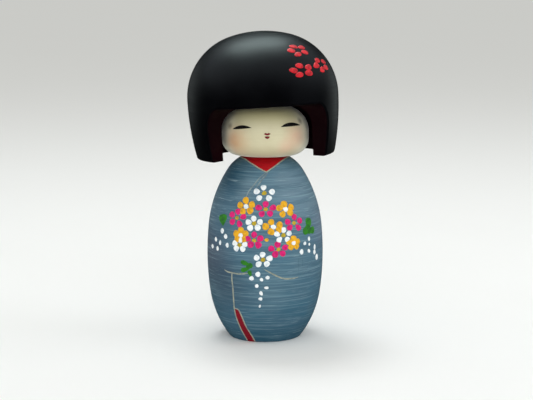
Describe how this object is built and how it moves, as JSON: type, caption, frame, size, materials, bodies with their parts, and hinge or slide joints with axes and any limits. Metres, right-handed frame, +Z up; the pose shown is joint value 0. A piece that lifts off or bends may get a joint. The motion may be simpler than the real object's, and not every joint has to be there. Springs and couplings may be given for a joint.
{
  "type": "kokeshi doll",
  "caption": "Turned wooden kokeshi doll: barrel-shaped kimono body, a head that turns on a neck dowel and a hollow bobbed hair cap with a face window.",
  "frame": {"origin": "centre of the flat foot, on the surface the doll stands on, on the axis of the turned body", "axes": "+Z up along the axis of the body, the neck dowel and the head; -Y towards the viewer that the face looks at; +X to the viewer's right, which is the doll's left"},
  "size_m": [0.0737, 0.0736, 0.1502],
  "materials": {
    "kimono_blue": "satin paint over turned wood with fine lathe grooves, a red under-collar and hem, and incised lines with pale grey-gold paint",
    "bare_wood": "bare turned wood",
    "face_cream": "waxed cream paint over turned wood",
    "hair_lacquer": "satin black lacquer over turned wood",
    "paint_red": "brushed paint: hair flowers",
    "paint_white": "brushed paint: petals, flower centres and dots",
    "paint_yellow": "brushed paint: petals and buds",
    "paint_pink": "brushed paint: petals",
    "paint_green": "brushed paint: leaves",
    "paint_ochre": "brushed paint: flower centres",
    "ink_black": "brushed ink: eyes",
    "lip_red": "brushed ink: lips"
  },
  "bodies": {
    "lower": {"kimono_body": "kimono_blue", "neck_dowel": "bare_wood"},
    "upper": {"head": "face_cream", "crown_dowel": "bare_wood", "hair_cap": "hair_lacquer"}
  },
  "joints": [
    {"name": "head_turn", "type": "hinge", "parent": "lower", "child": "upper", "pos_m": [0, 0, 0.0901], "axis": [0, 0, 1], "continuous": true}
  ]
}
